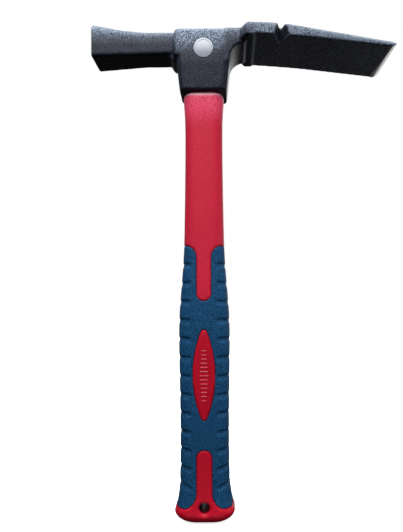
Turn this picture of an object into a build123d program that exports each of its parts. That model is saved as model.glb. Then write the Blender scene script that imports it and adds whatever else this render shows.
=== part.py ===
"""Brick hammer: a forged head on a moulded glass-fibre handle.

Millimetres. The origin is the centre of the hang hole. +X points to the blade,
+Y away from the front of the handle, and +Z up to the head.
"""
import os
from math import asin, ceil, cos, degrees, hypot, radians, sin, tan

from build123d import *

# ---- handle, heights above the hang hole ----
butt_drop = 11.8            # lowest point of the butt, below the hang hole
butt_widest = -3.1          # height where the butt is widest
flare_top = 12.5            # height where the butt's flare begins
grip_bottom = -0.5          # lower edge of the rubber
grip_waist = 42.0           # narrow part above the butt
grip_belly = 104.0          # wide part under the palm
grip_neck = 160.0           # where the grip has drawn in to the shaft
grip_top = 158.0            # upper edge of the rubber
shaft_waist = 230.0         # narrowest part of the shaft
shoulder_height = 250.7     # top of the red shoulder
ring_spacing = 12.0         # greatest distance between the handle's sections

# ---- handle, half widths (X) and half depths (Y) ----
butt_half = (18.6, 14.2)
flare_half = (15.4, 12.4)
waist_half = (15.0, 12.1)
belly_half = (15.65, 12.6)
grip_neck_half = (12.35, 10.3)
shaft_half = (11.45, 9.2)
shoulder_half = (12.4, 9.8)
corner_share = 0.68         # corner radius of a handle section over its half depth
shoulder_round = 1.5        # rounded upper edge of the shoulder
bowl_angles = (0, 16, 32, 48, 62, 73, 82)   # where the butt's rounded underside has sections

# ---- rubber sleeve ----
rubber = 2.6                # thickness of the sleeve
upper_slot_half = 4.5
upper_slot_end = 124.4
upper_slot_round = 7.0
lower_slot_half = 4.75
lower_slot_end = 34.7
lower_slot_round = 9.0
leaf_bottom = 51.5
leaf_top = 107.9
leaf_half = 6.85
leaf_tip = 2.0              # radius of the two tips of the leaf window
notch_count = 13            # finger notches up each side
notch_first = 11.0          # height of the lowest notch
notch_pitch = 11.25
notch_height = 3.3
notch_inner = 7.7           # distance of the notch's inner end from the middle
notch_depth = 1.25          # depth under the upper edge, on the front and back
notch_side_depth = 0.6      # the same on the two sides
notch_runout = 0.25         # share of that depth left at the lower lip
notch_slants = (20.0, 13.0, 6.0)    # the lowest notches tip down towards the middle

# ---- hang hole ----
hang_radius = 3.0
hang_lip = 1.8              # width and depth of the countersunk lip

# ---- core and bond ----
core_half = (6.6, 5.2)
core_corner = 3.5
core_bottom = 10.0          # the core stops above the hang hole
neck_gap = 1.2              # bare neck between the shoulder and the collar
neck_inset = 1.0            # how far the bare neck is set in from the shoulder
neck_entry = 6.0            # how far the moulded neck goes up into the eye
bond_fit = 0.0              # the epoxy is cast, so it fills its space

# ---- head: eye, collar and cheek ----
cheek_half_depth = 13.5
collar_half = (14.3, 12.2)
collar_top_half = (16.0, cheek_half_depth)
collar_rise = 16.0          # height of the tapered part of the collar
collar_corner = 4.0
head_height = 36.6          # collar's lower edge to the top of the head
eye_bottom_half = (8.6, 7.4)
eye_top_half = (9.4, 8.2)
eye_corner = 4.0
cap_thickness = 4.0
cap_recess = 0.6            # the cap sits this far below the top of the head
cheek_back = -17.6          # end of the cheek towards the poll
cheek_front = 25.5          # end of the cheek towards the blade
cheek_drop = 16.5           # height of the cheek at the poll side
cheek_front_drop = 9.4      # height of the cheek at the blade side
cheek_round = 2.5           # upright corners at the poll side
cheek_top_round = 3.0       # upper edges along the cheek

# ---- head: poll ----
poll_face = -68.0
poll_land = 6.0             # straight land behind the striking face
poll_chamfer = 0.9
poll_half_depth = 10.5
poll_rise = 4.2             # how far the face stands above the top of the head
poll_fall = 15.9            # lower edge of the face, below the top of the head
poll_corner = 1.3           # lower corners of the poll
poll_top_round = 4.0        # upper corners of the poll
neck_x = -36.0              # thinnest place of the neck
neck_half_depth = 9.0
neck_rise = 0.5
neck_fall = 14.2
poll_cove = 4.5             # radius between the collar and the poll's underside

# ---- head: blade ----
blade_root = 25.7           # where the blade reaches its full width
blade_tip = 114.2
blade_half_width = 20.0
blade_shoulder = 21.8       # where the shoulders leave the cheek
blade_corner = 1.0
root_thickness = 7.2
bend_x = 60.0               # the blade is bent between its root and here
bend_drop = 3.0
bend_thickness = 6.4
tip_thickness = 3.4         # thickness where the ground bevel starts
bevel_length = 2.8
lug_length = 5.0
lug_drop = 0.8
blade_edge_round = 2.4      # upper edges along the two sides of the blade

# ---- nail notch in the front edge of the blade ----
nail_x = 46.5
nail_top_half = 1.8
nail_top_depth = 7.0
nail_under_half = 5.6
nail_under_depth = 12.3
nail_round = 0.5

# ---- badge on the cheek ----
badge_x = 0.4
badge_drop = 12.6           # centre of the badge below the top of the head
badge_radius = 5.8
badge_seat = 0.5
badge_proud = 0.15

# ---- worked out from the above ----
collar_bottom = shoulder_height + neck_gap
head_top = collar_bottom + head_height
cap_top = head_top - cap_recess
cap_bottom = cap_top - cap_thickness
neck_top = collar_bottom + neck_entry
beyond = 5.0                # how far a cutter runs past what it cuts


def section(height, half, corner):
    """Rounded rectangle in a level plane."""
    return Pos(0, 0, height) * RectangleRounded(2 * half[0], 2 * half[1], corner)


def side_profile(outline, half_depth):
    """Prism along Y from an outline drawn in X and Z."""
    return extrude(Plane.XZ * outline, amount=half_depth, both=True)


# ---------------------------------------------------------------- handle ----
def smooth_through(points, x):
    """Smooth curve through the points that never swings past them."""
    steps = [(b[1] - a[1]) / (b[0] - a[0]) for a, b in zip(points, points[1:])]
    slopes = [steps[0]]
    for before, after in zip(steps, steps[1:]):
        mixed = before * after
        slopes.append(2 * mixed / (before + after) if mixed > 0 else 0.0)
    slopes.append(steps[-1])
    if x <= points[0][0]:
        return points[0][1]
    for (x0, y0), (x1, y1), m0, m1 in zip(points, points[1:], slopes, slopes[1:]):
        if x <= x1:
            run = x1 - x0
            t = (x - x0) / run
            level = y0 + (y1 - y0) * t * t * (3 - 2 * t)
            return level + run * t * (1 - t) * (m0 * (1 - t) - m1 * t)
    return points[-1][1]


def handle_half(height):
    """Half width and half depth of the handle at a height."""
    stations = (
        (butt_widest, butt_half),
        (flare_top, flare_half),
        (grip_waist, waist_half),
        (grip_belly, belly_half),
        (grip_neck, grip_neck_half),
        (shaft_waist, shaft_half),
        (shoulder_height, shoulder_half),
    )
    return tuple(smooth_through([(z, half[i]) for z, half in stations], height) for i in (0, 1))


def handle_ring(height, half, inset_x=0.0, inset_y=0.0):
    """Section of the handle, set in by two amounts."""
    corner = corner_share * half[1] - min(inset_x, inset_y)
    return section(height, (half[0] - inset_x, half[1] - inset_y), corner)


def handle_body(inset_x=0.0, inset_y=0.0):
    """Outside of the handle from the butt's widest place up to the shoulder, or that set in."""
    span = shoulder_height - butt_widest
    count = ceil(span / ring_spacing)
    heights = [butt_widest + span * index / count for index in range(count + 1)]
    return loft([handle_ring(z, handle_half(z), inset_x, inset_y) for z in heights])


def butt_bowl():
    """Rounded underside of the butt, a quarter ellipse in both views."""
    depth = (butt_widest + butt_drop) / sin(radians(bowl_angles[-1]))
    rings = []
    for angle in bowl_angles:
        share = cos(radians(angle))
        half = (butt_half[0] * share, butt_half[1] * share)
        rings.append(handle_ring(butt_widest - depth * sin(radians(angle)), half))
    return loft(rings)


def handle_outside():
    """Handle body with its shoulder rounded and the bowl under the butt."""
    body = handle_body()
    shoulder_edges = body.faces().sort_by(Axis.Z)[-1].edges()
    return fillet(shoulder_edges, shoulder_round) + butt_bowl()


def leaf_window():
    """Spindle-shaped window: two arcs with rounded tips."""
    sharpness = leaf_tip * 1.2      # what the tip radius takes off each end
    top = leaf_top + sharpness
    bottom = leaf_bottom - sharpness
    middle = (top + bottom) / 2
    right = ThreePointArc((0, bottom), (leaf_half, middle), (0, top))
    left = ThreePointArc((0, top), (-leaf_half, middle), (0, bottom))
    leaf = make_face(right + left)
    return fillet(leaf.vertices(), leaf_tip)


def slot_window(half, end, edge):
    """Slot with a round end that runs out through an edge of the rubber."""
    way = 1 if edge > end else -1
    outer = edge + way * beyond
    middle = (end + way * half + outer) / 2
    length = abs(outer - end - way * half)
    straight = Pos(0, middle) * Rectangle(2 * half, length)
    return straight + Pos(0, end + way * half) * Circle(half)


def rubber_outline():
    """Front view of the rubber: a tall band less its three windows."""
    tall = grip_top - grip_bottom
    band = Pos(0, (grip_top + grip_bottom) / 2) * Rectangle(4 * butt_half[0], tall)
    band -= slot_window(upper_slot_half, upper_slot_end, grip_top)
    band -= slot_window(lower_slot_half, lower_slot_end, grip_bottom)
    upper = [v for v in band.vertices().group_by(Axis.Y)[-1] if abs(v.X) < 2 * upper_slot_half]
    band = fillet(upper, upper_slot_round)
    lower = [v for v in band.vertices().group_by(Axis.Y)[0] if abs(v.X) < 2 * lower_slot_half]
    band = fillet(lower, lower_slot_round)
    return band - leaf_window()


def rubber_blank(outside):
    """Sleeve without its notches, cut out of the handle's outside."""
    band = side_profile(rubber_outline(), 2 * butt_half[1])
    return (outside & band) - handle_body(rubber, rubber)


def finger_notch(height, side, slant):
    """Cutter for one notch, deepest under its upper edge and running out at its lower lip."""
    half_x, half_y = handle_half(height)
    length = butt_half[0] + beyond - notch_inner
    outline = Pos(side * (notch_inner + length / 2), 0) * SlotOverall(length, notch_height)
    rings = []
    for share in (-0.2, 1.2):
        depth_share = notch_runout + (1 - notch_runout) * share
        inset_x = notch_side_depth * depth_share
        inset_y = notch_depth * depth_share
        z = notch_height * (share - 0.5)
        rings.append(handle_ring(z, (half_x, half_y), inset_x, inset_y))
    cutter = side_profile(outline, 2 * butt_half[1]) - loft(rings, ruled=True)
    turned = Rot(0, -side * slant, 0) * Pos(-side * notch_inner, 0, 0) * cutter
    return Pos(side * notch_inner, 0, height) * turned


def finger_notches():
    """Cutters for the notches up both sides."""
    cutters = []
    for index in range(notch_count):
        slant = notch_slants[index] if index < len(notch_slants) else 0.0
        height = notch_first + index * notch_pitch
        cutters += [finger_notch(height, side, slant) for side in (-1, 1)]
    return cutters


def hang_hole():
    """Straight bore along Y with a countersunk lip at each end."""
    depth = handle_half(0)[1]
    bore = Rot(90, 0, 0) * Cylinder(hang_radius, 2 * (depth + beyond))
    for way in (-1, 1):
        lip = Cone(hang_radius, hang_radius + hang_lip, hang_lip)
        bore += Pos(0, way * (depth - hang_lip / 2), 0) * Rot(-way * 90, 0, 0) * lip
        mouth = Cylinder(hang_radius + hang_lip, beyond)
        bore += Pos(0, way * (depth + beyond / 2), 0) * Rot(90, 0, 0) * mouth
    return bore


def core():
    """Pultruded rod from the butt up to the cap in the eye."""
    ring = section(core_bottom, core_half, core_corner)
    return extrude(ring, amount=cap_bottom - core_bottom)


# ------------------------------------------------------------------- eye ----
def eye_half_at(height):
    """Half sizes of the tapered eye at a height."""
    share = (height - collar_bottom) / head_height
    half_x = eye_bottom_half[0] + (eye_top_half[0] - eye_bottom_half[0]) * share
    half_y = eye_bottom_half[1] + (eye_top_half[1] - eye_bottom_half[1]) * share
    return half_x - bond_fit, half_y - bond_fit


def eye_fill(bottom, top):
    """Slice of the eye's inside between two heights."""
    lower = section(bottom, eye_half_at(bottom), eye_corner)
    upper = section(top, eye_half_at(top), eye_corner)
    return loft([lower, upper], ruled=True)


def moulded_neck():
    """Neck of the jacket: bare up to the collar, and a spigot that seats in the eye."""
    bare_half = (shoulder_half[0] - neck_inset, shoulder_half[1] - neck_inset)
    bare = handle_ring(shoulder_height - shoulder_round, bare_half)
    bare = extrude(bare, amount=neck_gap + shoulder_round)
    return bare + eye_fill(collar_bottom, neck_top)


# ------------------------------------------------------------------ head ----
def poll_ring(x, rise, fall, half_depth):
    """Section of the poll, with rounder corners on top."""
    ring = Rectangle(2 * half_depth, rise + fall)
    ring = fillet(ring.vertices().group_by(Axis.Y)[-1], poll_top_round)
    ring = fillet(ring.vertices().group_by(Axis.Y)[0], poll_corner)
    return Pos(x, 0, head_top + (rise - fall) / 2) * (Plane.YZ * ring)


def poll():
    """Square poll: striking face, straight land and a neck that runs into the cheek."""
    land_end = poll_face + poll_land
    half_way = (land_end + neck_x) / 2
    mid_depth = (poll_half_depth + neck_half_depth) / 2
    root_fall = neck_fall - 0.2
    mid_rise = neck_rise + (poll_rise - neck_rise) * 0.22
    mid_fall = neck_fall + (poll_fall - neck_fall) * 0.4
    inset = poll_chamfer
    rings = [
        poll_ring(poll_face, poll_rise - inset, poll_fall - inset, poll_half_depth - inset),
        poll_ring(poll_face + inset, poll_rise, poll_fall, poll_half_depth),
        poll_ring(land_end, poll_rise * 0.82, poll_fall - 0.3, poll_half_depth),
        poll_ring(half_way, mid_rise, mid_fall, mid_depth),
        poll_ring(neck_x, neck_rise, neck_fall, neck_half_depth),
        poll_ring(cheek_back, neck_rise * 0.5, root_fall, neck_half_depth + 0.4),
        poll_ring(0.0, -neck_rise, root_fall, neck_half_depth + 0.4),
    ]
    return loft(rings, ruled=True)


def cheek():
    """Block round the eye, coved under the blade, with the tapered collar below it."""
    high = head_top
    side = collar_top_half[0]
    front_low = high - cheek_front_drop
    cove_low = front_low - (cheek_front - side)
    outline = Polyline((side, cove_low), (side, high - cheek_drop - collar_corner),
                       (0, high - cheek_drop - collar_corner), (0, high - cheek_drop),
                       (cheek_back, high - cheek_drop), (cheek_back, high),
                       (cheek_front, high), (cheek_front, front_low))
    outline += RadiusArc((cheek_front, front_low), (side, cove_low), -(cheek_front - side))
    block = side_profile(make_face(outline), cheek_half_depth)
    block = fillet(block.edges().filter_by(Axis.X).group_by(Axis.Z)[-1], cheek_top_round)
    block = fillet(block.edges().filter_by(Axis.Z).group_by(Axis.X)[0], cheek_round)
    rings = [
        section(collar_bottom, collar_half, collar_corner),
        section(collar_bottom + collar_rise, collar_top_half, collar_corner),
        section(high - cheek_drop / 2, collar_top_half, collar_corner),
    ]
    return block + loft(rings, ruled=True)


def poll_web():
    """Web that rounds the inside corner between the collar and the poll."""
    under = head_top - neck_fall + 0.2
    side = -collar_top_half[0]
    outline = Polyline((side - poll_cove, under), (side - poll_cove, under + 2),
                       (side + 3, under + 2), (side + 3, under - poll_cove),
                       (side, under - poll_cove))
    outline += RadiusArc((side, under - poll_cove), (side - poll_cove, under), poll_cove)
    return side_profile(make_face(outline), neck_half_depth - 0.5)


def bend_angle():
    """Slope of the straight part of the blade, in degrees."""
    return degrees(2 * asin(bend_drop / hypot(bend_x - blade_root, bend_drop)))


def straight_drop(x):
    """How far the straight part's upper face lies below the top of the head."""
    return bend_drop + (x - bend_x) * tan(radians(bend_angle()))


def blade_side():
    """Side view of the blade: level at the root, bent down, and straight to the edge."""
    start = cheek_front - 12.0
    under = head_top - root_thickness
    bevel_x = blade_tip - bevel_length
    crown_z = head_top - straight_drop(bevel_x)
    edge = (blade_tip, crown_z - tip_thickness * 0.6)
    low_bend = (bend_x, head_top - bend_drop - bend_thickness)
    bend_radius = (bend_x - blade_root) / sin(radians(bend_angle()))
    outline = Line((start, head_top), (blade_root, head_top))
    outline += JernArc((blade_root, head_top), (1, 0), bend_radius, -bend_angle())
    outline += Polyline(outline @ 1, (bevel_x, crown_z), edge, (bevel_x, crown_z - tip_thickness),
                        low_bend, (blade_root + lug_length, under),
                        (blade_root + lug_length, under - lug_drop), (start, under - lug_drop),
                        (start, head_top))
    return make_face(outline)


def blade_plan():
    """Top view of the blade: shoulders that flare from the cheek to the full width."""
    start = cheek_front - 12.0
    inner = cheek_half_depth - 0.5
    wide = blade_half_width
    outline = Polyline((start, inner), (blade_shoulder, inner), (blade_root, wide),
                       (blade_tip + beyond, wide), (blade_tip + beyond, -wide),
                       (blade_root, -wide), (blade_shoulder, -inner), (start, -inner), close=True)
    face = make_face(outline)
    corners = [v for v in face.vertices() if abs(v.X - blade_root) < 0.1]
    return fillet(corners, blade_corner)


def blade():
    """Blade with its rounded upper edges, its ground edge and the nail notch."""
    low = head_top - straight_drop(blade_tip) - beyond
    plan = extrude(Pos(0, 0, low) * blade_plan(), amount=head_top - low + beyond)
    body = side_profile(blade_side(), blade_half_width) & plan
    sides = [e for e in body.edges() if blade_root < e.center().X < blade_tip - bevel_length
             and abs(abs(e.center().Y) - blade_half_width) < 0.01
             and e.center().Z > head_top - straight_drop(e.center().X) - 1.0]
    return fillet(sides, blade_edge_round) - nail_notch()


def nail_notch():
    """V notch that opens wider on the underside."""
    rings = []
    levels = ((head_top + 1.0, nail_top_half, nail_top_depth),
              (head_top - bend_drop - root_thickness, nail_under_half, nail_under_depth))
    for height, half, depth in levels:
        mouth = -blade_half_width
        flare = half * (depth + beyond) / depth
        outline = Polyline((nail_x - flare, mouth - beyond), (nail_x, mouth + depth),
                           (nail_x + flare, mouth - beyond), close=True)
        face = make_face(outline)
        apex = face.vertices().sort_by(Axis.Y)[-1]
        rings.append(Pos(0, 0, height) * fillet(apex, nail_round))
    return loft(rings, ruled=True)


def badge(extra=0.0):
    """Round badge let into the front of the cheek."""
    thickness = badge_seat + badge_proud + extra
    disc = Rot(90, 0, 0) * Cylinder(badge_radius, thickness)
    y = -cheek_half_depth + badge_seat - thickness / 2
    return Pos(badge_x, y, head_top - badge_drop) * disc


def head():
    """The whole forging: poll, cheek, collar and blade, less the eye and the badge's seat."""
    forging = cheek() + poll() + poll_web() + blade()
    eye_bore = eye_fill(collar_bottom, head_top)
    return forging - eye_bore - badge(extra=1.0)


# ----------------------------------------------------------------- pieces ---
def build():
    """Every piece by its node name."""
    outside = handle_outside()
    blank = rubber_blank(outside)
    rod = core()
    return {
        "hammer_head": head(),
        "cheek_badge": badge(),
        "eye_cap": eye_fill(cap_bottom, cap_top),
        "eye_epoxy": eye_fill(neck_top, cap_bottom) - rod,
        "fibreglass_core": rod,
        "handle_jacket": outside + moulded_neck() - blank - rod - hang_hole(),
        "grip_sleeve": blank - finger_notches(),
    }


os.makedirs("parts", exist_ok=True)
for node, shape in build().items():
    export_step(shape, f"parts/{node}.step")
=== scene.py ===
"""Looks of the brick hammer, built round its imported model. Metres, +Z up, +X to the blade."""
import math

import bmesh
import bpy
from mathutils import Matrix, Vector, noise


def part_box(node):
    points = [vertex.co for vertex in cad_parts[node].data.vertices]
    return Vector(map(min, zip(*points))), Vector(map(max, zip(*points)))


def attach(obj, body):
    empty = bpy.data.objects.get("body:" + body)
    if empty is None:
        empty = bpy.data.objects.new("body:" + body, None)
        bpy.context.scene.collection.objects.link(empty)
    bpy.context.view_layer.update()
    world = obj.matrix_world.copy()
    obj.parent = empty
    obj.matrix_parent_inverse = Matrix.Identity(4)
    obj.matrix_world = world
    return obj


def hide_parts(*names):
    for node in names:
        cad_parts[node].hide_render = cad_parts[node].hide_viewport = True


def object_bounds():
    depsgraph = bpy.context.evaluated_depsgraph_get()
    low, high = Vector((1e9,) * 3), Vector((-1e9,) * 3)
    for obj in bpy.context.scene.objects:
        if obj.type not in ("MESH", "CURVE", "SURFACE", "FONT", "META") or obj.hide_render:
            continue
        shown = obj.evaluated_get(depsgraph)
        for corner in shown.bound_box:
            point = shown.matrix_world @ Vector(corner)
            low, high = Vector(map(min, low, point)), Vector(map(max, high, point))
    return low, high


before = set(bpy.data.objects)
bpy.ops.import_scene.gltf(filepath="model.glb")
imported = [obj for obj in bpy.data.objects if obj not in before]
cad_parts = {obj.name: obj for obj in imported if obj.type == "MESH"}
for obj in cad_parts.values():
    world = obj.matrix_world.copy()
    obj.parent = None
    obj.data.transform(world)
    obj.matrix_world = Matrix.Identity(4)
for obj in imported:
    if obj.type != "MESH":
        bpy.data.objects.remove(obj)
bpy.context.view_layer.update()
MM = 0.001


# ---------------------------------------------------------------- hammer head
# One steel drop forging: poll, cheek, collar and blade. The scale is blasted off, the dies
# leave every edge soft, and it is powder coated in a dark blue-grey. Only the cutting edge,
# a little out of square, and the striking face are ground bright afterwards.
class Reading:
    """The output of a shader node, with arithmetic that adds Math nodes."""

    def __init__(self, finish, socket):
        self.finish = finish
        self.socket = socket

    def __add__(self, other):
        return self.finish.maths("ADD", self, other)

    def __sub__(self, other):
        return self.finish.maths("SUBTRACT", self, other)

    def __rsub__(self, other):
        return self.finish.maths("SUBTRACT", other, self)

    def __mul__(self, other):
        return self.finish.maths("MULTIPLY", self, other)

    __radd__ = __add__
    __rmul__ = __mul__

    def over(self, level, width):
        """0 below the level and 1 above it, with a soft step of that width."""
        node = self.finish.add(
            "ShaderNodeMapRange",
            {"Value": self, "From Min": level - width / 2, "From Max": level + width / 2},
            interpolation_type="SMOOTHSTEP",
        )
        return Reading(self.finish, node.outputs["Result"])


class Finish:
    """A material: its node tree, its shader, and what its patterns read."""

    def __init__(self, name):
        self.material = bpy.data.materials.new(name)
        self.material.use_nodes = True
        self.tree = self.material.node_tree
        self.shader = self.tree.nodes["Principled BSDF"]
        ways = self.add("ShaderNodeTexCoord")
        self.place = Reading(self, ways.outputs["Object"])
        self.facing = Reading(self, ways.outputs["Normal"])

    def add(self, kind, inputs=None, **settings):
        """Any node: its settings first, then the values or links of its sockets."""
        node = self.tree.nodes.new(kind)
        for name, value in settings.items():
            setattr(node, name, value)
        for name, value in (inputs or {}).items():
            self.feed(node.inputs[name], value)
        return node

    def feed(self, socket, value):
        """A number, a colour or a link into one socket."""
        if isinstance(value, Reading):
            self.tree.links.new(value.socket, socket)
        elif socket.type == "RGBA" and len(value) == 3:
            socket.default_value = (*value, 1)
        else:
            socket.default_value = value

    def set(self, **inputs):
        """Values or links on the shader's own sockets, with _ for a space."""
        for name, value in inputs.items():
            self.feed(self.shader.inputs[name.replace("_", " ")], value)

    def maths(self, operation, *values):
        """A Math node on readings and numbers, in their order."""
        node = self.add("ShaderNodeMath", dict(enumerate(values)), operation=operation)
        return Reading(self, node.outputs[0])

    def parts(self, vector):
        """The three numbers of a vector."""
        node = self.add("ShaderNodeSeparateXYZ", {"Vector": vector})
        return [Reading(self, node.outputs[axis]) for axis in "XYZ"]

    def grain(self, size, detail=2.0, roughness=0.5, stretch=None):
        """Noise whose grains are about that size, in metres."""
        place = self.place
        if stretch:
            mapped = self.add("ShaderNodeMapping", {"Vector": place, "Scale": stretch})
            place = Reading(self, mapped.outputs["Vector"])
        inputs = {"Vector": place, "Scale": 1 / size, "Detail": detail, "Roughness": roughness}
        return Reading(self, self.add("ShaderNodeTexNoise", inputs).outputs["Fac"])

    def blend(self, amount, low, high):
        """Colour between two colours or readings."""
        node = self.add("ShaderNodeMix", {0: amount, 6: low, 7: high}, data_type="RGBA")
        return Reading(self, node.outputs[2])

    def bump(self, height, depth, strength=1.0):
        """Small relief of that depth, in metres."""
        inputs = {"Height": height, "Distance": depth, "Strength": strength}
        return Reading(self, self.add("ShaderNodeBump", inputs).outputs["Normal"])


def softened_copy(node, name, voxel, rounds, crisp=None, sink=0.0, wave=1.0):
    """Copy of a CAD node with a fine even skin and soft edges.

    crisp(place) is 1 where the edges stay crisp and 0 where every round of smoothing
    reaches. With a sink, the skin is then lowered in soft waves of about that length,
    which leaves it a little uneven.
    """
    merge_distance = 0.002 * MM
    least_rounds = 2
    smoothing = 0.5
    mean_level = 0.6
    skin = bmesh.new()
    skin.from_mesh(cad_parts[node].data)
    bmesh.ops.remove_doubles(skin, verts=skin.verts, dist=merge_distance)
    mesh = bpy.data.meshes.new(name)
    skin.to_mesh(mesh)
    skin.free()
    piece = bpy.data.objects.new(name, mesh)
    bpy.context.scene.collection.objects.link(piece)
    remesh = piece.modifiers.new("even_skin", "REMESH")
    remesh.mode = "VOXEL"
    remesh.voxel_size = voxel
    depsgraph = bpy.context.evaluated_depsgraph_get()
    even = bpy.data.meshes.new_from_object(piece.evaluated_get(depsgraph))
    piece.modifiers.clear()
    piece.data = even
    skin = bmesh.new()
    skin.from_mesh(even)
    ease = [1 - (crisp(vertex.co) if crisp else 0) for vertex in skin.verts]
    for index in range(rounds):
        group = [vertex for vertex, share in zip(skin.verts, ease)
                 if index < least_rounds or index < share * rounds]
        bmesh.ops.smooth_vert(skin, verts=group, factor=smoothing, use_axis_x=True,
                              use_axis_y=True, use_axis_z=True)
    if sink:
        skin.normal_update()
        for vertex, share in zip(skin.verts, ease):
            level = mean_level + noise.noise(vertex.co / wave)
            vertex.co -= vertex.normal * (max(level, 0) * sink * share)
    for face in skin.faces:
        face.smooth = True
    skin.to_mesh(even)
    skin.free()
    even.materials.clear()
    return piece


head_low, head_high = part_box("hammer_head")
ground_length = 4.4 * MM
face_land = 0.9 * MM
nail_middle = 46.5 * MM
nail_reach = 7.5 * MM


def ramp(value, start, end):
    """0 at the start and 1 at the end, straight in between."""
    return min(max((value - start) / (end - start), 0.0), 1.0)


def crisp_area(place):
    """1 at the cutting edge, the striking face and the nail notch, whose edges stay crisp."""
    at_edge = ramp(place.x, head_high.x - 1.6 * ground_length, head_high.x - 0.8 * ground_length)
    at_face = ramp(place.x, head_low.x + 3 * face_land, head_low.x + face_land)
    away = math.hypot(place.x - nail_middle, place.y - head_low.y)
    at_notch = ramp(away, 1.6 * nail_reach, 1.1 * nail_reach)
    return max(at_edge, at_face, at_notch)


forged_head = softened_copy("hammer_head", "forged_head", 0.55 * MM, 7, crisp_area,
                            sink=0.06 * MM, wave=6 * MM)

# The coat's colour is paler high on the head, further down on the cheek, and all along the
# blade: painted light from above. It is less pale where a face looks up, a painted shade,
# and dark in the nail notch, a painted shade in the recess.
coat = Finish("blue_grey_powder_coat")
x, y, z = coat.parts(coat.place)
pores = coat.grain(0.66 * MM, detail=2.5, roughness=0.62)
grit = coat.grain(0.9 * MM, detail=2.0)
cloud = coat.grain(14 * MM, detail=3.0)

pale_level, pale_fade = head_high.z - 7 * MM, 14 * MM
cheek_back, cheek_front = -17.6 * MM, 13 * MM
cheek_reach = 8 * MM
blade_start = head_high.x - 85 * MM
blade_share = 0.75
level_slope, level_fade = 0.86, 0.2
upward_shade_share = 0.72
# Painted light: the coat's colour is paler high on the head, lower down on the cheek and all
# along the blade.
on_cheek = x.over(cheek_back, 3 * MM) * (1 - x.over(cheek_front, 9 * MM))
painted_light = (z + on_cheek * cheek_reach).over(pale_level, pale_fade)
on_blade = x.over(blade_start, 8 * MM)
painted_light = coat.maths("MAXIMUM", painted_light, on_blade * blade_share)
# Painted shade: the coat's colour is less pale where a face looks up.
looks_up = coat.parts(coat.facing)[2].over(level_slope, level_fade)
painted_light = painted_light * (1 - looks_up * upward_shade_share)

pit_level, fleck_level, speck_fade = 0.43, 0.56, 0.12
# Shaded and lit copies of the one coat colour, blended by that painted light.
shaded_tone = coat.blend(cloud, (0.005, 0.006, 0.013), (0.009, 0.011, 0.021))
lit_tone = coat.blend(cloud, (0.100, 0.134, 0.190), (0.136, 0.176, 0.240))
tone = coat.blend(painted_light, shaded_tone, lit_tone)
fleck = coat.blend(painted_light, (0.030, 0.037, 0.064), (0.280, 0.345, 0.430))
light = coat.blend(pores.over(fleck_level, speck_fade), tone, fleck)
speckled = coat.blend(pores.over(pit_level, speck_fade), (0.006, 0.007, 0.012), light)

# Painted shade: the faces inside the nail notch are darkened, as the recess lies in shadow.
notch_half = 6.5 * MM
notch_front, notch_back = head_low.y + 0.9 * MM, head_low.y + 15 * MM
notch_low, notch_top = head_high.z - 11.8 * MM, head_high.z - 6.6 * MM
notch_shade_share = 0.85
from_nail = coat.maths("ABSOLUTE", x - nail_middle)
in_notch = y.over(notch_front, 0.8 * MM) * (1 - from_nail.over(notch_half, 1.5 * MM))
in_notch = in_notch * (1 - y.over(notch_back, 3 * MM))
in_notch = in_notch * (1 - z.over(notch_top, 0.8 * MM))
in_notch = in_notch * z.over(notch_low, 0.6 * MM)
painted = coat.blend(in_notch * notch_shade_share, speckled, (0.004, 0.004, 0.007))

edge_width, edge_skew = 2.0 * MM, 0.08
face_width = 0.75 * MM
ground_line = 0.25 * MM
ragged_width = 0.3 * MM
coat_lap = 0.9 * MM
scratches = coat.grain(0.16 * MM, detail=4.0, stretch=(1.0, 0.06, 1.0))
steel = coat.blend(scratches, (0.48, 0.48, 0.45), (0.64, 0.63, 0.59))
ragged = grit * ragged_width - ragged_width / 2
skew = (y - head_low.y) * edge_skew
at_edge = (x + ragged + skew).over(head_high.x - edge_width, ground_line)
at_edge = at_edge * y.over(head_low.y + coat_lap, 0.5 * MM)
at_face = 1 - (x + ragged).over(head_low.x + face_width, ground_line)
bright = coat.maths("MAXIMUM", at_edge, at_face)
relief = pores * 0.7 + grit * 0.5
coat.set(
    Base_Color=coat.blend(bright, painted, steel),
    Metallic=bright * 0.35 + 0.1,
    Specular_IOR_Level=0.16,
    Roughness=(1 - bright) * (pores * 0.22 + 0.38) + bright * (scratches * 0.2 + 0.26),
    Normal=coat.bump(relief * (1 - bright) + scratches * bright * 0.08, 0.17 * MM, 0.9),
)
forged_head.data.materials.append(coat.material)
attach(forged_head, "root")
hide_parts("hammer_head")


# -------------------------------------------------------------- handle jacket
# Hard red plastic, moulded in one shot round the glass-fibre core. The shaft has the fine
# even texture of a spark-eroded mould and a paler red, a painted sheen, paler still towards
# its top with painted light from above; the windows and the butt are smoother and deeper
# in colour. The shoulder's top edge, where the mould parts, is shiny and carries a painted
# highlight band, and the hang hole is made near black, a painted shade.
red_jacket = softened_copy("handle_jacket", "red_jacket", 0.65 * MM, 5)
grip_low, grip_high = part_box("grip_sleeve")
neck_height = 7 * MM
shoulder_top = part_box("handle_jacket")[1].z - neck_height
shaft_level, shaft_fade = grip_high.z - 40 * MM, 60 * MM
top_level, top_fade = shoulder_top - 12 * MM, 22 * MM
rim_low, rim_high = shoulder_top - 1.5 * MM, shoulder_top + 0.1 * MM
shine_level, shine_fade = shoulder_top - 2 * MM, 2 * MM
hole_edge = 3.1 * MM
pit_level, pit_fade = 0.42, 0.12
fleck_level, fleck_fade = 0.60, 0.14

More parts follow.
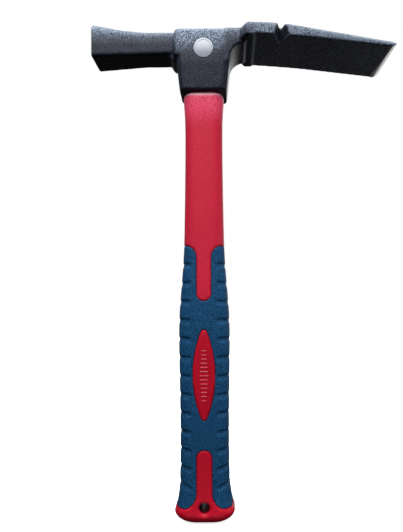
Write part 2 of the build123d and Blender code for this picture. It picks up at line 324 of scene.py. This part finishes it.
red = Finish("textured_red_plastic")
x, _, z = red.parts(red.place)
tooth = red.grain(0.50 * MM, detail=2.5)
fine = red.grain(0.25 * MM, detail=1.0)
flow = red.grain(22 * MM, detail=2.0)
up_shaft = z.over(shaft_level, shaft_fade)
# Painted light: the shaft's red and its flecks are paler towards the top, lit from above.
at_top = z.over(top_level, top_fade)
shaded_red = red.blend(flow, (0.44, 0.006, 0.026), (0.50, 0.009, 0.034))
lit_red = red.blend(flow, (0.76, 0.060, 0.140), (0.82, 0.078, 0.165))
shaft_red = red.blend(at_top, shaded_red, lit_red)
# The shaft's red is paler than the deeper red of the windows and the butt, a painted sheen.
deep_red = red.blend(flow, (0.36, 0.002, 0.014), (0.44, 0.003, 0.018))
plain = red.blend(up_shaft, deep_red, shaft_red)
pale = red.blend(at_top, (0.54, 0.026, 0.058), (0.84, 0.140, 0.225))
shade = red.blend(up_shaft, (0.32, 0.002, 0.013), (0.42, 0.010, 0.034))
pitted = red.blend(tooth.over(pit_level, pit_fade), shade, plain)
flecked = red.blend(tooth.over(fleck_level, fleck_fade) * up_shaft, pitted, pale)
# Painted highlight: a pale band along the shoulder's rounded top edge.
rim = z.over(rim_low, 0.8 * MM) * (1 - z.over(rim_high, 0.4 * MM))
highlighted = red.blend(rim, flecked, (0.90, 0.46, 0.56))
# Painted shade: the inside of the hang hole is made near black.
from_hole = red.maths("SQRT", x * x + z * z)
hole_shaded = red.blend(from_hole.over(hole_edge, 0.5 * MM), (0.030, 0.001, 0.003), highlighted)
red.set(
    Base_Color=hole_shaded,
    Specular_IOR_Level=0.14,
    Coat_Weight=z.over(shine_level, shine_fade) * 0.9,
    Coat_Roughness=0.25,
    Roughness=tooth * 0.16 + 0.36 + up_shaft * 0.06,
    Normal=red.bump(tooth * 0.6 + fine * 0.4, 0.09 * MM, 0.7),
)
red_jacket.data.materials.append(red.material)
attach(red_jacket, "root")
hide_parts("handle_jacket")


# ------------------------------------------------------------------ leaf ribs
# Plain raised bars in the leaf-shaped window on both sides of the grip. They are part of
# the same red plastic moulding, shorter towards the leaf's two ends, and paler in random
# patches, a painted highlight where the raised bars catch the light.
leaf_middle = 79.5 * MM
rib_size = Vector((5.2, 0.9, 0.8)) * MM
rib_pitch = 2.5 * MM
rib_count = 13
rib_sunk = 0.22 * MM
rib_round = 0.22 * MM
end_shortening = 0.45
clear_of_handle = 50 * MM
ribs_each_way = (rib_count - 1) / 2
bars = bmesh.new()
for side in (-1, 1):
    for index in range(rib_count):
        steps = index - ribs_each_way
        height = leaf_middle + steps * rib_pitch
        start = Vector((0, side * clear_of_handle, height))
        spot = red_jacket.ray_cast(start, Vector((0, -side, 0)))[1]
        length = rib_size.x * (1.0 - end_shortening * abs(steps) / ribs_each_way)
        bar = bmesh.ops.create_cube(bars, size=1.0)["verts"]
        bmesh.ops.scale(bars, vec=(length, rib_size.y, rib_size.z), verts=bar)
        bmesh.ops.translate(bars, vec=(0, spot.y - side * rib_sunk, height), verts=bar)
bmesh.ops.bevel(bars, geom=list(bars.edges), offset=rib_round, segments=2, profile=0.5,
                affect="EDGES", material=-1)
rib_mesh = bpy.data.meshes.new("leaf_ribs")
bars.to_mesh(rib_mesh)
bars.free()
leaf_ribs = bpy.data.objects.new("leaf_ribs", rib_mesh)
bpy.context.scene.collection.objects.link(leaf_ribs)
# Painted highlight: the bars' red is paler than the window round them, in random patches.
rib_finish = Finish("rib_red_plastic_painted_highlight")
mottle = rib_finish.grain(1.2 * MM, detail=3.0)
rib_finish.set(
    Base_Color=rib_finish.blend(mottle.over(0.55, 0.4), (0.46, 0.012, 0.034), (0.56, 0.085, 0.105)),
    Roughness=mottle * 0.2 + 0.35,
    Normal=rib_finish.bump(mottle, 0.05 * MM, 0.6),
)
rib_mesh.materials.append(rib_finish.material)
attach(leaf_ribs, "root")


# ---------------------------------------------------------------- grip sleeve
# Blue soft rubber, moulded over the red jacket in a second shot. Its finger notches and
# window edges are softly rounded, its surface is a fine matt grain, and its colour is a
# little darker towards the butt, a painted shade where less light from above reaches.
blue_grip = softened_copy("grip_sleeve", "blue_grip", 0.57 * MM, 2)
dark_level, dark_fade = grip_low.z + 55 * MM, 40 * MM
dark_share = 0.6
pit_level, pit_fade = 0.44, 0.10
bloom_level, bloom_fade = 0.57, 0.12
bloom_share = 0.7
blue = Finish("soft_blue_rubber")
z = blue.parts(blue.place)[2]
grain = blue.grain(0.55 * MM, detail=2.5, roughness=0.6)
patch = blue.grain(9 * MM, detail=3.0)
worn = blue.grain(2.0 * MM, detail=4.0)
# Painted shade: the rubber's colour is darker low on the grip, towards the butt.
low_grip = 1 - z.over(dark_level, dark_fade)
deep = blue.blend(patch, (0.0040, 0.038, 0.102), (0.0060, 0.054, 0.138))
shaded_toward_butt = blue.blend(low_grip * dark_share, deep, (0.0035, 0.030, 0.080))
pit = blue.blend(grain.over(pit_level, pit_fade), (0.0025, 0.021, 0.060), shaded_toward_butt)
bloomed = grain.over(bloom_level, bloom_fade) * bloom_share
bloom = blue.blend(bloomed, pit, (0.018, 0.120, 0.250))
blue.set(
    Base_Color=bloom,
    Specular_IOR_Level=0.09,
    Roughness=grain * 0.18 + worn * 0.1 + 0.44,
    Normal=blue.bump(grain, 0.10 * MM, 0.7),
)
blue_grip.data.materials.append(blue.material)
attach(blue_grip, "root")
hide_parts("grip_sleeve")


# ---------------------------------------------------------------- cheek badge
# Thin aluminium disc pressed into its seat on the front of the cheek: a plain rim round
# a slightly lower flat middle, brushed straight across. Its colour is paler towards its
# top and darker below, painted light and shade from above.
badge_low, badge_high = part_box("cheek_badge")
badge_centre = (badge_low + badge_high) / 2
badge_radius = (badge_high.x - badge_low.x) / 2
seat_gap = 0.05 * MM
rim_width = 0.9 * MM
step_width = 0.15 * MM
step_depth = 0.14 * MM
disc = bmesh.new()
bmesh.ops.create_circle(disc, cap_ends=True, radius=badge_radius - seat_gap, segments=72)
grown = bmesh.ops.extrude_face_region(disc, geom=list(disc.faces))["geom"]
grown_verts = [part for part in grown if isinstance(part, bmesh.types.BMVert)]
bmesh.ops.translate(disc, vec=(0, 0, badge_high.y - badge_low.y), verts=grown_verts)
middle = [part for part in grown if isinstance(part, bmesh.types.BMFace)]
for width in (rim_width, step_width):
    bmesh.ops.inset_region(disc, faces=middle, thickness=width, depth=0.0)
bmesh.ops.translate(disc, vec=(0, 0, -step_depth), verts=list(middle[0].verts))
bmesh.ops.rotate(disc, cent=(0, 0, 0), verts=disc.verts,
                 matrix=Vector((0, 0, 1)).rotation_difference(Vector((0, -1, 0))).to_matrix())
bmesh.ops.translate(disc, verts=disc.verts, vec=(badge_centre.x, badge_high.y, badge_centre.z))
bmesh.ops.recalc_face_normals(disc, faces=disc.faces)
disc_mesh = bpy.data.meshes.new("badge_disc")
disc.to_mesh(disc_mesh)
disc.free()
badge_disc = bpy.data.objects.new("badge_disc", disc_mesh)
bpy.context.scene.collection.objects.link(badge_disc)
brushed = Finish("brushed_aluminium")
z = brushed.parts(brushed.place)[2]
lines = brushed.grain(0.25 * MM, detail=4.0, stretch=(0.05, 1.0, 1.0))
# Painted light and shade: the disc's colour is paler towards its top and darker below.
shade = z.over(badge_centre.z, 9 * MM)
shaded_lower = brushed.blend(lines, (0.075, 0.080, 0.105), (0.13, 0.14, 0.17))
clear = brushed.blend(lines, (0.24, 0.26, 0.29), (0.36, 0.38, 0.41))
brushed.set(
    Base_Color=brushed.blend(shade, shaded_lower, clear),
    Metallic=0.55,
    Roughness=lines * 0.25 + 0.34,
    Normal=brushed.bump(lines, 0.03 * MM, 0.5),
)
disc_mesh.materials.append(brushed.material)
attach(badge_disc, "root")
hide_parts("cheek_badge")


# ------------------------------------------------------- eye: cap, epoxy, core
# The pultruded glass-fibre core is bonded into the eye with cast epoxy, and a moulded
# black plastic cap closes the eye. Only the cap shows, from above.
cap_finish = Finish("black_cap_plastic")
pits = cap_finish.grain(0.7 * MM, detail=3.0)
cap_finish.set(
    Base_Color=cap_finish.blend(pits, (0.012, 0.012, 0.013), (0.035, 0.035, 0.037)),
    Roughness=pits * 0.25 + 0.42,
    Normal=cap_finish.bump(pits, 0.12 * MM, 0.7),
)
epoxy_finish = Finish("amber_epoxy")
haze = epoxy_finish.grain(3.0 * MM, detail=3.0)
epoxy_finish.set(
    Base_Color=epoxy_finish.blend(haze, (0.42, 0.28, 0.10), (0.58, 0.44, 0.20)),
    Roughness=haze * 0.2 + 0.2,
    Normal=epoxy_finish.bump(haze, 0.1 * MM, 0.4),
)
rod_finish = Finish("pultruded_glass_fibre")
strands = rod_finish.grain(0.5 * MM, detail=3.0, stretch=(1.0, 1.0, 0.02))
rod_finish.set(
    Base_Color=rod_finish.blend(strands, (0.60, 0.55, 0.34), (0.80, 0.77, 0.58)),
    Roughness=strands * 0.25 + 0.3,
    Normal=rod_finish.bump(strands, 0.05 * MM, 0.6),
)
for node, finish in (("eye_cap", cap_finish), ("eye_epoxy", epoxy_finish),
                     ("fibreglass_core", rod_finish)):
    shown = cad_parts[node]
    shown.data.materials.clear()
    shown.data.materials.append(finish.material)


# --------------------------------------------------------------- studio stage
# Plain pale floor under the butt, and a surround that looks white but lights the hammer
# dimly, less from below than from above. Soft lights stand above, in front of and behind
# the hammer, two more beyond the blade, and a small one low in front of the butt.
floor_size = 6.0
sheet = bmesh.new()
bmesh.ops.create_grid(sheet, x_segments=1, y_segments=1, size=floor_size)
bmesh.ops.translate(sheet, vec=(0, 0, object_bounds()[0][2]), verts=sheet.verts)
floor_mesh = bpy.data.meshes.new("floor")
sheet.to_mesh(floor_mesh)
sheet.free()
floor = bpy.data.objects.new("floor", floor_mesh)
bpy.context.scene.collection.objects.link(floor)
floor_finish = Finish("pale_floor")
dust = floor_finish.grain(0.4, detail=2.0)
floor_finish.set(
    Base_Color=floor_finish.blend(dust, (0.90, 0.90, 0.90), (0.93, 0.93, 0.93)),
    Roughness=0.9,
    Emission_Color=(1, 1, 1),
    Emission_Strength=0.8,
)
floor_mesh.materials.append(floor_finish.material)
floor.visible_diffuse = False
floor.visible_glossy = False


class Surround(Finish):
    """The light from all round the stage, whose nodes are added in the same way."""

    def __init__(self, name):
        world = bpy.data.worlds.new(name)
        world.use_nodes = True
        bpy.context.scene.world = world
        self.tree = world.node_tree
        self.shader = self.tree.nodes["Background"]
        self.place = Reading(self, self.add("ShaderNodeTexCoord").outputs["Generated"])


surround = Surround("white_surround")
surround.set(Color=(1, 1, 1), Strength=1.0)
rise = surround.add("ShaderNodeMapRange", {
    "Value": surround.parts(surround.place)[2],
    "From Min": -0.35, "From Max": 0.9, "To Min": 0.03, "To Max": 0.75,
})
dim = surround.add("ShaderNodeBackground", {
    "Color": (0.8, 0.8, 0.8), "Strength": Reading(surround, rise.outputs["Result"]),
})
path = surround.add("ShaderNodeLightPath")
either = surround.add("ShaderNodeMixShader", {
    0: Reading(surround, path.outputs["Is Camera Ray"]),
    1: Reading(surround, dim.outputs["Background"]),
    2: Reading(surround, surround.shader.outputs["Background"]),
})
surround.feed(surround.tree.nodes["World Output"].inputs["Surface"],
              Reading(surround, either.outputs["Shader"]))


def soft_light(name, place, target, size, power):
    """Rectangular light at a place, turned to a target."""
    lamp = bpy.data.lights.new(name, "AREA")
    lamp.shape = "RECTANGLE"
    lamp.size, lamp.size_y = size
    lamp.energy = power
    holder = bpy.data.objects.new(name, lamp)
    holder.location = place
    holder.rotation_euler = (Vector(target) - Vector(place)).to_track_quat("-Z", "Y").to_euler()
    bpy.context.scene.collection.objects.link(holder)


soft_light("overhead", (0.02, -0.16, 0.80), (0.01, 0.0, 0.27), (0.8, 0.4), 7.2)
soft_light("side", (0.85, -0.10, 0.17), (0.09, 0.0, 0.27), (0.4, 0.4), 1.5)
soft_light("back", (0.25, 1.1, 0.65), (0.0, 0.0, 0.2), (0.7, 0.7), 5.0)
soft_light("tip_glow", (0.72, 1.0, 0.20), (0.11, 0.0, 0.27), (0.6, 0.6), 1.8)
soft_light("bounce", (0.0, -0.22, -0.14), (0.0, 0.0, -0.005), (0.25, 0.1), 0.45)
soft_light("front", (-0.15, -0.85, 0.85), (0.0, 0.0, 0.16), (0.7, 0.5), 8.4)

lens = bpy.data.cameras.new("camera")
lens.sensor_width = 36.0
lens.lens = 32.8
lens.shift_x = -0.0517
lens.shift_y = 0.0733
camera = bpy.data.objects.new("camera", lens)
camera.location = (15.2 * MM, -303 * MM, 122 * MM)
camera.rotation_euler = (math.radians(90), math.radians(0.2), 0)
bpy.context.scene.collection.objects.link(camera)
bpy.context.scene.camera = camera

view = bpy.context.scene.view_settings
view.view_transform = "Standard"
